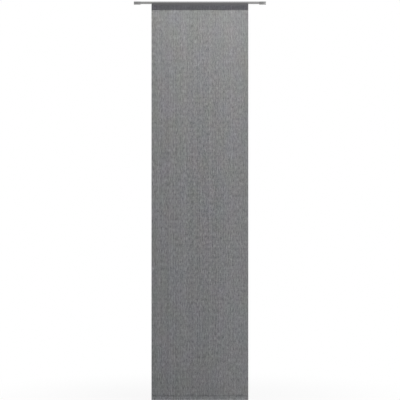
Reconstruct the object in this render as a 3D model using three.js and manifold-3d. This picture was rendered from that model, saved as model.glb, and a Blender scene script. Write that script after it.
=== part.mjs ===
import * as THREE from "three";
import { mergeVertices } from "three/addons/utils/BufferGeometryUtils.js";
import Module from "manifold-3d";

// Sliding panel curtain: one flat cloth panel on a carrier that slides in a short ceiling track.
// Millimetres. X runs along the track, -Y is the front and +Z is up.
// The origin is the middle of the track's flat top, which lies against the ceiling.

const wasm = await Module();
wasm.setup();

// Panel
const PANEL_WIDTH = 600;
const PANEL_DROP = 2450;
const CLOTH_THICKNESS = 0.7;
const HEM_DEPTH = 33;
const HEM_TURN_IN = 10;
const LAYER_GAP = 0.2;

// Travel of the panel either way from the middle of the track
const PANEL_TRAVEL = 65;

// Track, an extruded channel with its slot below
const TRACK_DEPTH = 15;
const TRACK_HEIGHT = 14;
const TRACK_WALL = 1.4;
const TRACK_SLOT = 6;
const TRACK_TOP_RADIUS = 0.8;
const TRACK_BOTTOM_RADIUS = 2;
const TRACK_INNER_RADIUS = 0.7;
const RUNNING_RIDGE_WIDTH = 1.4;
const RUNNING_RIDGE_HEIGHT = 0.6;
const CEILING_HOLE_SPACING = 220;
const CEILING_HOLE_DIAMETER = 4.5;
const CEILING_SINK_DIAMETER = 7;

// End caps, with a grub screw up through the floor of each
const CAP_LENGTH = 41;
const CAP_WALL = 1.9;
const CAP_FLOOR = 3.3;
const CAP_END_WALL = 3;
const CAP_CORNER_RADIUS = 2.6;
const CAP_EDGE_BEVEL = 0.8;
const CAP_CLEARANCE = 3.5;
const CAP_SCREW_DIAMETER = 3;
const CAP_SCREW_LENGTH = 3;
const CAP_SCREW_INSET = 12;

// Stops clamped in the channel
const STOP_LENGTH = 16;
const STOP_CLEARANCE = 1;
const STOP_SCREW_DIAMETER = 3;
const STOP_SCREW_LENGTH = 11;

// Gliders
const GLIDER_COUNT = 4;
const GLIDER_END_INSET = 31;
const GLIDER_HEAD_LENGTH = 22;
const GLIDER_HEAD_HEIGHT = 5;
const GLIDER_HEAD_RADIUS = 3.5;
const GLIDER_NECK_LENGTH = 14;
const GLIDER_FOOT_HEIGHT = 2.7;
const GLIDER_EDGE_BEVEL = 0.5;
const GLIDER_SLIT = 1;
const GLIDER_SLIT_DEPTH = 4;

// Carrier, an extruded groove for the glider feet joined to a front plate for the cloth
const CARRIER_DROP_BELOW_TRACK = 1.5;
const GROOVE_INNER_DEPTH = 9.2;
const GROOVE_WALL = 1.2;
const GROOVE_FLOOR = 1.5;
const PLATE_THICKNESS = 1.5;
const PLATE_TRACK_GAP = 1;
const PLATE_TRACK_COVER = 5.4;
const TAPE_RIB_WIDTH = 1;
const TAPE_RIB_HEIGHT = 0.9;
const CARRIER_CAP_THICKNESS = 2;
const CARRIER_CAP_SPIGOT = 7;

// Touch fastener
const TAPE_HEIGHT = 29;
const HOOK_TAPE_THICKNESS = 1.6;
const LOOP_TAPE_THICKNESS = 1.2;
const TAPE_SIDE_INSET = 1;
const CLOTH_ABOVE_TAPE = 0.5;

// Weight bar
const BAR_HEIGHT = 18;
const BAR_THICKNESS = 3;
const BAR_EDGE_RADIUS = 1.2;
const BAR_SIDE_INSET = 11;
const BAR_CAP_LENGTH = 12;
const BAR_CAP_WALL = 0.5;
const BAR_CAP_END = 1.5;

// Clearances
const FIT_GAP = 0.3;
const SEAT_GAP = 0.2;
const SCREW_GAP = 0.3;
const CUT_OVERRUN = 2;

// Smoothness of round stretches
const ARC_STEPS = 6;
const ROUND_SIDES = 24;
const HEX_SIDES = 6;

// Places worked out from the sizes
const trackBottom = -TRACK_HEIGHT;
const channelHalf = TRACK_DEPTH / 2 - TRACK_WALL;
const ridgeTop = trackBottom + TRACK_WALL + RUNNING_RIDGE_HEIGHT;
const capInnerX = PANEL_WIDTH / 2 + PANEL_TRAVEL + CAP_CLEARANCE;
const capOuterX = capInnerX + CAP_LENGTH;
const trackLength = 2 * (capOuterX - CAP_END_WALL - FIT_GAP);

const grooveTop = trackBottom - CARRIER_DROP_BELOW_TRACK;
const footTop = grooveTop - GROOVE_WALL - FIT_GAP;
const footBottom = footTop - GLIDER_FOOT_HEIGHT;
const grooveFloorTop = footBottom - FIT_GAP;
const grooveBottom = grooveFloorTop - GROOVE_FLOOR;
const neckDepth = TRACK_SLOT - 2 * FIT_GAP;
const grooveSlot = neckDepth + 2 * FIT_GAP;
const plateBack = -TRACK_DEPTH / 2 - PLATE_TRACK_GAP;
const plateFront = plateBack - PLATE_THICKNESS;
const plateTop = trackBottom + PLATE_TRACK_COVER;
const tapeTop = grooveBottom - TAPE_RIB_WIDTH / 2;
const tapeBottom = tapeTop - TAPE_HEIGHT;
const plateBottom = tapeBottom - SEAT_GAP - TAPE_RIB_WIDTH;
const carrierLength = PANEL_WIDTH - 2 * (CARRIER_CAP_THICKNESS + SEAT_GAP);
const tapeLength = carrierLength - 2 * TAPE_SIDE_INSET;

const hookFront = plateFront - SEAT_GAP - HOOK_TAPE_THICKNESS;
const loopFront = hookFront - SEAT_GAP - LOOP_TAPE_THICKNESS;
const clothMiddle = loopFront - SEAT_GAP - CLOTH_THICKNESS / 2;
const clothTop = tapeTop + CLOTH_ABOVE_TAPE;
const clothBottom = clothTop - PANEL_DROP;

const layerPitch = CLOTH_THICKNESS + LAYER_GAP;
const barCapHeight = BAR_HEIGHT + 2 * (BAR_CAP_WALL + SEAT_GAP);
const barCapThickness = BAR_THICKNESS + 2 * (BAR_CAP_WALL + SEAT_GAP);
const pocketHalf = barCapThickness / 2 + FIT_GAP + CLOTH_THICKNESS / 2;
const barMiddle = clothMiddle + layerPitch;
const barCapBottom = clothBottom + CLOTH_THICKNESS + FIT_GAP + SEAT_GAP;
const barCentre = barCapBottom + barCapHeight / 2;
const barOverCaps = PANEL_WIDTH - 2 * BAR_SIDE_INSET;
const barLength = barOverCaps - 2 * (BAR_CAP_END + SEAT_GAP);

const gliderFirst = PANEL_WIDTH / 2 - GLIDER_END_INSET;
const gliderPitch = (2 * gliderFirst) / (GLIDER_COUNT - 1);
const stopInner = gliderFirst + GLIDER_HEAD_LENGTH / 2 + PANEL_TRAVEL + STOP_CLEARANCE;
const stopMiddle = stopInner + STOP_LENGTH / 2;

// Materials
const brushedAluminium = { color: 0x8b8b8a, metalness: 1, roughness: 0.38 };
const darkAluminium = { color: 0x616162, metalness: 1, roughness: 0.42 };
const bareAluminium = { color: 0xcbcbca, metalness: 1, roughness: 0.45 };
const satinMetal = { color: 0x868686, metalness: 1, roughness: 0.32 };
const zincSteel = { color: 0x8d8f92, metalness: 1, roughness: 0.42 };
const whitePlastic = { color: 0xdedfde, metalness: 0, roughness: 0.45 };
const greyPlastic = { color: 0x8b8c8e, metalness: 0, roughness: 0.5 };
const greyCloth = { color: 0x77787a, metalness: 0, roughness: 0.95 };
const hookPlastic = { color: 0xc9cac8, metalness: 0, roughness: 0.8 };

// Solids
function solidFrom(geometry) {
  const bare = geometry.clone();
  bare.deleteAttribute("normal");
  bare.deleteAttribute("uv");
  const merged = mergeVertices(bare, 1e-4);
  return new wasm.Manifold(
    new wasm.Mesh({
      numProp: 3,
      vertProperties: new Float32Array(merged.attributes.position.array),
      triVerts: new Uint32Array(merged.index.array),
    }),
  );
}

function geometryFrom(solid) {
  const mesh = solid.getMesh();
  const geometry = new THREE.BufferGeometry();
  geometry.setAttribute("position", new THREE.BufferAttribute(mesh.vertProperties, 3));
  geometry.setIndex(new THREE.BufferAttribute(mesh.triVerts, 1));
  return geometry;
}

function cut(geometry, ...tools) {
  const rest = tools.reduce((left, tool) => left.subtract(solidFrom(tool)), solidFrom(geometry));
  return geometryFrom(rest);
}

function join(...geometries) {
  const [first, ...others] = geometries.map(solidFrom);
  return geometryFrom(others.reduce((sum, piece) => sum.add(piece), first));
}

// A section drawn in Y and Z, extruded along X and centred on its length.
const alongX = new THREE.Matrix4().makeBasis(
  new THREE.Vector3(0, 1, 0),
  new THREE.Vector3(0, 0, 1),
  new THREE.Vector3(1, 0, 0),
);

function extrudeX(shape, length) {
  const geometry = new THREE.ExtrudeGeometry(shape, {
    depth: length,
    bevelEnabled: false,
    curveSegments: ARC_STEPS,
  });
  return geometry.translate(0, 0, -length / 2).applyMatrix4(alongX);
}

// A plan outline extruded upwards from a level, its two rims bevelled where a bevel is given.
function extrudeUp(shape, bottom, height, bevel = 0) {
  const geometry = new THREE.ExtrudeGeometry(shape, {
    depth: height - 2 * bevel,
    bevelEnabled: bevel > 0,
    bevelThickness: bevel,
    bevelSize: bevel,
    bevelOffset: -bevel,
    bevelSegments: 2,
    curveSegments: ARC_STEPS,
  });
  return geometry.translate(0, 0, bottom + bevel);
}

function roundedRectangle(width, height, radius) {
  const x = width / 2;
  const y = height / 2;
  const shape = new THREE.Shape();
  shape.moveTo(-x + radius, -y);
  shape.absarc(x - radius, -y + radius, radius, -Math.PI / 2, 0);
  shape.absarc(x - radius, y - radius, radius, 0, Math.PI / 2);
  shape.absarc(-x + radius, y - radius, radius, Math.PI / 2, Math.PI);
  shape.absarc(-x + radius, -y + radius, radius, Math.PI, 1.5 * Math.PI);
  return shape;
}

// An upright cylinder whose lower end is at a level.
function upright(diameter, bottom, height, sides = ROUND_SIDES) {
  const geometry = new THREE.CylinderGeometry(diameter / 2, diameter / 2, height, sides);
  return geometry.rotateX(Math.PI / 2).translate(0, 0, bottom + height / 2);
}

// A strip of cloth of one thickness that follows a path drawn in Y and Z.
function stripShape(path, thickness) {
  const points = path.getPoints(ARC_STEPS);
  const middle = points.filter((p, i) => i === 0 || p.distanceTo(points[i - 1]) > 1e-6);
  const offset = (side) =>
    middle.map((p, i) => {
      const before = p.clone().sub(middle[Math.max(i - 1, 0)]).normalize();
      const after = middle[Math.min(i + 1, middle.length - 1)].clone().sub(p).normalize();
      const along = before.add(after).normalize();
      return new THREE.Vector2(-along.y, along.x).multiplyScalar((side * thickness) / 2).add(p);
    });
  return new THREE.Shape([...offset(1), ...offset(-1).reverse()]);
}

// Track rail: the channel's outline runs round the outside, in through the slot and round the inside.
function trackRail() {
  const y = TRACK_DEPTH / 2;
  const top = TRACK_TOP_RADIUS;
  const low = TRACK_BOTTOM_RADIUS;
  const inner = TRACK_INNER_RADIUS;
  const lipTop = trackBottom + TRACK_WALL;
  const slot = TRACK_SLOT / 2;
  const shape = new THREE.Shape();
  shape.moveTo(slot, trackBottom);
  shape.absarc(y - low, trackBottom + low, low, -Math.PI / 2, 0);
  shape.absarc(y - top, -top, top, 0, Math.PI / 2);
  shape.absarc(-y + top, -top, top, Math.PI / 2, Math.PI);
  shape.absarc(-y + low, trackBottom + low, low, Math.PI, 1.5 * Math.PI);
  shape.lineTo(-slot, trackBottom);
  shape.lineTo(-slot, ridgeTop);
  shape.lineTo(-slot - RUNNING_RIDGE_WIDTH, ridgeTop);
  shape.lineTo(-slot - RUNNING_RIDGE_WIDTH, lipTop);
  shape.absarc(-channelHalf + inner, lipTop + inner, inner, 1.5 * Math.PI, Math.PI, true);
  shape.absarc(-channelHalf + inner, -TRACK_WALL - inner, inner, Math.PI, Math.PI / 2, true);
  shape.absarc(channelHalf - inner, -TRACK_WALL - inner, inner, Math.PI / 2, 0, true);
  shape.absarc(channelHalf - inner, lipTop + inner, inner, 0, -Math.PI / 2, true);
  shape.lineTo(slot + RUNNING_RIDGE_WIDTH, lipTop);
  shape.lineTo(slot + RUNNING_RIDGE_WIDTH, ridgeTop);
  shape.lineTo(slot, ridgeTop);

  // Ceiling screws pass through the web, countersunk from inside the channel.
  const holes = [-1.5, -0.5, 0.5, 1.5].map((step) => {
    const hole = upright(CEILING_HOLE_DIAMETER, -TRACK_WALL - CUT_OVERRUN, TRACK_WALL + 2 * CUT_OVERRUN);
    const sinkDepth = (CEILING_SINK_DIAMETER - CEILING_HOLE_DIAMETER) / 2;
    const sink = new THREE.CylinderGeometry(
      CEILING_HOLE_DIAMETER / 2,
      CEILING_SINK_DIAMETER / 2 + CUT_OVERRUN,
      sinkDepth + CUT_OVERRUN,
      ROUND_SIDES,
    );
    sink.rotateX(Math.PI / 2).translate(0, 0, -TRACK_WALL + (sinkDepth - CUT_OVERRUN) / 2);
    return join(hole, sink).translate(step * CEILING_HOLE_SPACING, 0, 0);
  });
  return cut(extrudeX(shape, trackLength), ...holes);
}

// End cap: a cast sleeve round the track's front, back and underside, closed at its outer end.
// Its rim is level with the track's top, so that both lie flat on the ceiling.
function endCap(side) {
  const wall = TRACK_DEPTH / 2 + FIT_GAP + CAP_WALL;
  const floor = trackBottom - FIT_GAP - CAP_FLOOR;
  const radius = CAP_CORNER_RADIUS;
  const outline = new THREE.Shape();
  outline.moveTo(wall, 0);
  outline.lineTo(-wall, 0);
  outline.absarc(-wall + radius, floor + radius, radius, Math.PI, 1.5 * Math.PI);
  outline.absarc(wall - radius, floor + radius, radius, 1.5 * Math.PI, 2 * Math.PI);
  const body = extrudeX(outline, CAP_LENGTH);

  // The outer end's edges are taken off by a wedge along each.
  const wedge = (size) => {
    const leg = CAP_EDGE_BEVEL * Math.SQRT2;
    const tool = new THREE.BoxGeometry(leg, size, leg);
    return tool.rotateY(Math.PI / 4);
  };
  const endX = (side * CAP_LENGTH) / 2;
  const across = 2 * wall + CUT_OVERRUN;
  const lowerEdge = wedge(across).translate(endX, 0, floor);
  const sideEdge = (way) =>
    wedge(across + TRACK_HEIGHT)
      .rotateX(Math.PI / 2)
      .translate(endX, way * wall, floor / 2);

  const cavity = new THREE.Shape();
  const halfCavity = TRACK_DEPTH / 2 + FIT_GAP;
  const bend = TRACK_BOTTOM_RADIUS + FIT_GAP;
  cavity.moveTo(halfCavity, CUT_OVERRUN);
  cavity.lineTo(-halfCavity, CUT_OVERRUN);
  cavity.absarc(-halfCavity + bend, trackBottom - FIT_GAP + bend, bend, Math.PI, 1.5 * Math.PI);
  cavity.absarc(halfCavity - bend, trackBottom - FIT_GAP + bend, bend, 1.5 * Math.PI, 2 * Math.PI);
  const room = extrudeX(cavity, CAP_LENGTH).translate(-side * CAP_END_WALL, 0, 0);

  const hole = upright(
    CAP_SCREW_DIAMETER + 2 * SCREW_GAP,
    floor - CUT_OVERRUN,
    CAP_FLOOR + 2 * CUT_OVERRUN,
  ).translate(side * (CAP_SCREW_INSET - CAP_LENGTH / 2), capScrewY(), 0);
  return cut(body, room, lowerEdge, sideEdge(1), sideEdge(-1), hole);
}

// The cap's screw bears on the flat of the track's rear lip.
function capScrewY() {
  return (TRACK_SLOT / 2 + TRACK_DEPTH / 2 - TRACK_BOTTOM_RADIUS) / 2;
}

// Grub screw with a hexagon socket in its lower end.
function grubScrew(diameter, length) {
  const socketAcross = diameter * 0.55;
  const socketDepth = Math.min(length / 2, diameter);
  const body = upright(diameter, 0, length);
  const socket = upright(socketAcross, -CUT_OVERRUN, socketDepth + CUT_OVERRUN, HEX_SIDES);
  return cut(body, socket);
}

// Track stop: a block on the running ridges with a tongue down into the slot.
function trackStop() {
  const width = 2 * (channelHalf - FIT_GAP);
  const bottom = ridgeTop + FIT_GAP;
  const height = -TRACK_WALL - FIT_GAP - bottom;
  const block = extrudeUp(roundedRectangle(STOP_LENGTH, width, 1), bottom, height, GLIDER_EDGE_BEVEL);
  const tongueBottom = trackBottom + FIT_GAP;
  const tongue = extrudeUp(
    roundedRectangle(STOP_LENGTH - 2, neckDepth, 0.6),
    tongueBottom,
    bottom - tongueBottom + 1,
  );
  const hole = upright(
    STOP_SCREW_DIAMETER + 2 * SCREW_GAP,
    trackBottom - CUT_OVERRUN,
    TRACK_HEIGHT + 2 * CUT_OVERRUN,
  );
  return cut(join(block, tongue), hole);
}

// Glider: a head that runs on the track's ridges, a neck through the slot and a foot in the groove.
// A slit up from below lets the foot spring together when it is pushed into the carrier.
function glider() {
  const headWidth = 2 * (channelHalf - FIT_GAP);
  const headBottom = ridgeTop + FIT_GAP;
  const footWidth = GROOVE_INNER_DEPTH - 2 * FIT_GAP;
  const head = extrudeUp(
    roundedRectangle(GLIDER_HEAD_LENGTH, headWidth, GLIDER_HEAD_RADIUS),
    headBottom,
    GLIDER_HEAD_HEIGHT,
    GLIDER_EDGE_BEVEL,
  );
  const neckBottom = footTop - GLIDER_FOOT_HEIGHT / 2;
  const neckHeight = headBottom + GLIDER_HEAD_HEIGHT / 2 - neckBottom;
  const neck = extrudeUp(
    roundedRectangle(GLIDER_NECK_LENGTH, neckDepth, neckDepth / 4),
    neckBottom,
    neckHeight,
  );
  const foot = extrudeUp(
    roundedRectangle(GLIDER_NECK_LENGTH, footWidth, 1),
    footBottom,
    GLIDER_FOOT_HEIGHT,
    GLIDER_EDGE_BEVEL,
  );
  const slit = new THREE.BoxGeometry(
    GLIDER_NECK_LENGTH + CUT_OVERRUN,
    GLIDER_SLIT,
    GLIDER_SLIT_DEPTH + CUT_OVERRUN,
  );
  slit.translate(0, 0, footBottom + (GLIDER_SLIT_DEPTH - CUT_OVERRUN) / 2);
  return cut(join(head, neck, foot), slit);
}

// Carrier section: groove and front plate in one extrusion, with a rib above and below the tape.
function carrierShape() {
  const grooveInner = GROOVE_INNER_DEPTH / 2;
  const grooveOuter = grooveInner + GROOVE_WALL;
  const slot = grooveSlot / 2;
  const ribFront = plateFront - TAPE_RIB_HEIGHT;
  const upperRibBottom = tapeTop + SEAT_GAP;
  const half = PLATE_THICKNESS / 2;
  const shape = new THREE.Shape();
  shape.moveTo(plateBack, plateBottom);
  shape.lineTo(plateBack, grooveBottom);
  shape.lineTo(grooveOuter, grooveBottom);
  shape.lineTo(grooveOuter, grooveTop);
  shape.lineTo(slot, grooveTop);
  shape.lineTo(slot, grooveTop - GROOVE_WALL);
  shape.lineTo(grooveInner, grooveTop - GROOVE_WALL);
  shape.lineTo(grooveInner, grooveFloorTop);
  shape.lineTo(-grooveInner, grooveFloorTop);
  shape.lineTo(-grooveInner, grooveTop - GROOVE_WALL);
  shape.lineTo(-slot, grooveTop - GROOVE_WALL);
  shape.lineTo(-slot, grooveTop);
  shape.lineTo(-grooveOuter, grooveTop);
  shape.lineTo(-grooveOuter, grooveFloorTop);
  shape.lineTo(plateBack, grooveFloorTop);
  shape.lineTo(plateBack, plateTop - half);
  shape.absarc(plateBack - half, plateTop - half, half, 0, Math.PI);
  shape.lineTo(plateFront, upperRibBottom + TAPE_RIB_WIDTH);
  shape.lineTo(ribFront, upperRibBottom + TAPE_RIB_WIDTH);
  shape.lineTo(ribFront, upperRibBottom);
  shape.lineTo(plateFront, upperRibBottom);
  shape.lineTo(plateFront, plateBottom + TAPE_RIB_WIDTH);
  shape.lineTo(ribFront, plateBottom + TAPE_RIB_WIDTH);
  shape.lineTo(ribFront, plateBottom);
  return shape;
}

// Carrier end cap: a thin plate over the section's end, with a spigot in the groove.
function carrierEndCap(side) {
  const grooveOuter = GROOVE_INNER_DEPTH / 2 + GROOVE_WALL;
  const ribFront = plateFront - TAPE_RIB_HEIGHT;
  const corner = GROOVE_WALL;
  const outline = new THREE.Shape();
  outline.moveTo(plateBack, plateBottom);
  outline.lineTo(plateBack, grooveBottom - corner);
  outline.lineTo(plateBack + corner, grooveBottom);
  outline.absarc(grooveOuter - corner, grooveBottom + corner, corner, -Math.PI / 2, 0);
  outline.absarc(grooveOuter - corner, grooveTop - corner, corner, 0, Math.PI / 2);
  outline.lineTo(plateBack, grooveTop);
  outline.lineTo(plateBack, plateTop);
  outline.lineTo(plateFront, plateTop);
  outline.lineTo(ribFront, tapeTop + SEAT_GAP + TAPE_RIB_WIDTH);
  outline.lineTo(ribFront, plateBottom);
  const plate = extrudeX(outline, CARRIER_CAP_THICKNESS);

  const spigotWidth = GROOVE_INNER_DEPTH - 2 * FIT_GAP;
  const spigotLength = CARRIER_CAP_SPIGOT + CARRIER_CAP_THICKNESS / 2;
  const spigot = new THREE.BoxGeometry(spigotLength, spigotWidth, GLIDER_FOOT_HEIGHT);
  spigot.translate((-side * spigotLength) / 2, 0, (footTop + footBottom) / 2);
  return join(plate, spigot);
}

// Cloth panel: the strip hangs straight, opens round the weight bar, turns up at the bottom fold,
// closes again at the seam and ends in the allowance turned in between its two layers.
function fabricPanel() {
  const y = clothMiddle;
  const backLayer = y + 2 * layerPitch;
  const foldLevel = clothBottom + CLOTH_THICKNESS / 2 + pocketHalf;
  const pocketTop = barCapBottom + barCapHeight + FIT_GAP;
  const seamLow = clothBottom + HEM_DEPTH - HEM_TURN_IN / 2;
  const bend = (pocketTop + seamLow) / 2;
  const turn = layerPitch / 2;
  const hemTop = clothBottom + HEM_DEPTH - turn - CLOTH_THICKNESS / 2;
  const path = new THREE.Path();
  path.moveTo(y, clothTop);
  path.lineTo(y, seamLow);
  path.bezierCurveTo(y, bend, barMiddle - pocketHalf, bend, barMiddle - pocketHalf, pocketTop);
  path.lineTo(barMiddle - pocketHalf, foldLevel);
  path.absarc(barMiddle, foldLevel, pocketHalf, Math.PI, 2 * Math.PI);
  path.lineTo(barMiddle + pocketHalf, pocketTop);
  path.bezierCurveTo(barMiddle + pocketHalf, bend, backLayer, bend, backLayer, seamLow);
  path.lineTo(backLayer, hemTop);
  path.absarc(backLayer - turn, hemTop, turn, 0, Math.PI);
  path.lineTo(backLayer - 2 * turn, clothBottom + HEM_DEPTH - HEM_TURN_IN);
  return extrudeX(stripShape(path, CLOTH_THICKNESS), PANEL_WIDTH);
}

// Weight bar's end cap: a moulded cup over the bar's end.
function barCap(side) {
  const outer = roundedRectangle(barCapThickness, barCapHeight, BAR_EDGE_RADIUS + BAR_CAP_WALL);
  const roomThickness = BAR_THICKNESS + 2 * SEAT_GAP;
  const roomHeight = BAR_HEIGHT + 2 * SEAT_GAP;
  const room = roundedRectangle(roomThickness, roomHeight, BAR_EDGE_RADIUS + SEAT_GAP);
  return cut(
    extrudeX(outer, BAR_CAP_LENGTH),
    extrudeX(room, BAR_CAP_LENGTH).translate(-side * BAR_CAP_END, 0, 0),
  );
}

function piece(name, geometry, look, x = 0, y = 0, z = 0) {
  const mesh = new THREE.Mesh(geometry, new THREE.MeshStandardMaterial(look));
  mesh.name = name;
  mesh.position.set(x, y, z);
  return mesh;
}

// The fixed track and what is fastened to it
const track = new THREE.Group();
track.add(piece("track_rail", trackRail(), brushedAluminium));
for (const [hand, side] of [["left", -1], ["right", 1]]) {
  const capX = side * (capOuterX - CAP_LENGTH / 2);
  const capScrewX = side * (capInnerX + CAP_SCREW_INSET);
  const capScrewZ = trackBottom - FIT_GAP - CAP_SCREW_LENGTH;
  const capScrew = grubScrew(CAP_SCREW_DIAMETER, CAP_SCREW_LENGTH);
  const stopX = side * stopMiddle;
  const stopScrewZ = -TRACK_WALL - FIT_GAP - STOP_SCREW_LENGTH;
  const stopScrew = grubScrew(STOP_SCREW_DIAMETER, STOP_SCREW_LENGTH);
  track.add(piece(`end_cap_${hand}`, endCap(side), satinMetal, capX));
  track.add(piece(`end_cap_screw_${hand}`, capScrew, zincSteel, capScrewX, capScrewY(), capScrewZ));
  track.add(piece(`track_stop_${hand}`, trackStop(), greyPlastic, stopX));
  track.add(piece(`stop_screw_${hand}`, stopScrew, zincSteel, stopX, 0, stopScrewZ));
}

// The sliding panel
const panel = new THREE.Group();
panel.add(piece("panel_carrier", extrudeX(carrierShape(), carrierLength), darkAluminium));
for (const [hand, side] of [["left", -1], ["right", 1]]) {
  const carrierCapX = side * (PANEL_WIDTH / 2 - CARRIER_CAP_THICKNESS / 2);
  const barCapX = side * (barOverCaps / 2 - BAR_CAP_LENGTH / 2);
  panel.add(piece(`carrier_end_cap_${hand}`, carrierEndCap(side), greyPlastic, carrierCapX));
  panel.add(piece(`weight_bar_cap_${hand}`, barCap(side), whitePlastic, barCapX, barMiddle, barCentre));
}
for (let i = 0; i < GLIDER_COUNT; i += 1) {
  panel.add(piece(`glider_${i + 1}`, glider(), whitePlastic, i * gliderPitch - gliderFirst));
}

const hookShape = roundedRectangle(HOOK_TAPE_THICKNESS, TAPE_HEIGHT, HOOK_TAPE_THICKNESS / 4);
const loopShape = roundedRectangle(LOOP_TAPE_THICKNESS, TAPE_HEIGHT, LOOP_TAPE_THICKNESS / 4);
const hookY = hookFront + HOOK_TAPE_THICKNESS / 2;
const loopY = loopFront + LOOP_TAPE_THICKNESS / 2;
const tapeMiddle = (tapeTop + tapeBottom) / 2;
panel.add(piece("hook_tape", extrudeX(hookShape, tapeLength), hookPlastic, 0, hookY, tapeMiddle));
panel.add(piece("loop_tape", extrudeX(loopShape, tapeLength), greyCloth, 0, loopY, tapeMiddle));
panel.add(piece("fabric_panel", fabricPanel(), greyCloth));

const barShape = roundedRectangle(BAR_THICKNESS, BAR_HEIGHT, BAR_EDGE_RADIUS);
panel.add(piece("weight_bar", extrudeX(barShape, barLength), bareAluminium, 0, barMiddle, barCentre));

const curtain = new THREE.Group();
curtain.add(track, panel);

export default curtain;
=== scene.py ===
import math
import random

import bmesh
import bpy
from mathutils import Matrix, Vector


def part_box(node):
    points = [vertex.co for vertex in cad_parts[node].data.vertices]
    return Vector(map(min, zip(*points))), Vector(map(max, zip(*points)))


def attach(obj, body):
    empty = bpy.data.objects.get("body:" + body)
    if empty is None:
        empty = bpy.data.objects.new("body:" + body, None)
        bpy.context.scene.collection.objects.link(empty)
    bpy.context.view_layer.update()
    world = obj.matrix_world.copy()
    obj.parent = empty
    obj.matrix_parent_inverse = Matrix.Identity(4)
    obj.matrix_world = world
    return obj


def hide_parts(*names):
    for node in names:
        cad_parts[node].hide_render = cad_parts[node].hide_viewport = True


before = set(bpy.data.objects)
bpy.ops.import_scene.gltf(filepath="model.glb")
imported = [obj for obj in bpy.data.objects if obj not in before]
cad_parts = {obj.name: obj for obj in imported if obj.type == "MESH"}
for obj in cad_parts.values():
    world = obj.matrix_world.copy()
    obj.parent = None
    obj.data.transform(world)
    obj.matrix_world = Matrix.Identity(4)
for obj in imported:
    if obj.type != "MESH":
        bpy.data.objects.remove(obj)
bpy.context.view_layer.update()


# Track rail: an extruded aluminium channel, satin anodised, that is screwed to the ceiling through its web.
# Its slot faces down and its two lips carry the gliders. The saw-cut ends are hidden in the end caps.

MM = 0.001
FINE_GRAIN_SHARE = 0.7
BROAD_GRAIN_SCALE = 14.0
GRAIN_ON_ROUGHNESS = 0.8
EDGE_WEAR_GAIN = 6.0
WEAR_PATCH_SCALE = 120.0


def place(tree, kind, inputs=None, **settings):
    """A shader node with its settings made and its inputs set or wired."""
    made = tree.nodes.new(kind)
    for name, value in settings.items():
        setattr(made, name, value)
    for socket, value in (inputs or {}).items():
        if isinstance(value, bpy.types.NodeSocket):
            tree.links.new(value, made.inputs[socket])
        else:
            made.inputs[socket].default_value = value
    return made


def work(tree, operation, *terms, clamp=False):
    """The result of one sum on numbers or sockets."""
    sums = dict(enumerate(terms))
    return place(tree, "ShaderNodeMath", sums, operation=operation, use_clamp=clamp).outputs[0]


def clouds(tree, vector, scale, detail):
    """Soft irregular values around a half, about as many to the metre as the scale says."""
    inputs = {"Vector": vector, "Scale": scale, "Detail": detail}
    return place(tree, "ShaderNodeTexNoise", inputs).outputs[0]


def shift(tree, amount, low, high):
    """The number between low and high that an amount from 0 to 1 stands for."""
    inputs = {"Value": amount, "To Min": low, "To Max": high}
    return place(tree, "ShaderNodeMapRange", inputs).outputs["Result"]


def share_between(tree, value, low, high):
    """How far a value has come from low to high, from 0 to 1."""
    inputs = {"Value": value, "From Min": low, "From Max": high}
    return place(tree, "ShaderNodeMapRange", inputs).outputs["Result"]


def blend_colours(tree, amount, first, second):
    """One colour going over to another as the amount goes from 0 to 1."""
    inputs = {"Fac": amount, "Color1": first, "Color2": second}
    return place(tree, "ShaderNodeMixRGB", inputs).outputs["Color"]


def scaled(tree, vector, by):
    """A colour or a direction times one number."""
    return place(tree, "ShaderNodeVectorMath", {0: vector, "Scale": by}, operation="SCALE").outputs[0]


def stretched(tree, vector, by):
    """A place or a colour with each of its three parts scaled by itself."""
    return place(tree, "ShaderNodeVectorMath", {0: vector, 1: by}, operation="MULTIPLY").outputs[0]


def set_relief(tree, shader, height, depth, strength):
    """Raises and sinks a shader's surface by a height, and gives the normal that comes of it."""
    inputs = {"Height": height, "Distance": depth, "Strength": strength}
    normal = place(tree, "ShaderNodeBump", inputs).outputs["Normal"]
    tree.links.new(normal, shader.inputs["Normal"])
    return normal


def new_material(name):
    """A new material, with its node tree and its main shader."""
    material = bpy.data.materials.new(name)
    material.use_nodes = True
    tree = material.node_tree
    return material, tree, tree.nodes["Principled BSDF"]


def spot_on_object(tree):
    """The place on the object in metres, which moves with the piece."""
    return place(tree, "ShaderNodeTexCoord").outputs["Object"]


def new_group(name, inputs, outputs):
    """An empty shader group with its named sockets, and its two end nodes."""
    group = bpy.data.node_groups.new(name, "ShaderNodeTree")
    for label, (kind, value) in inputs.items():
        socket = group.interface.new_socket(name=label, in_out="INPUT", socket_type=kind)
        socket.default_value = value
    for label, kind in outputs.items():
        group.interface.new_socket(name=label, in_out="OUTPUT", socket_type=kind)
    return group, group.nodes.new("NodeGroupInput"), group.nodes.new("NodeGroupOutput")


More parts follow.
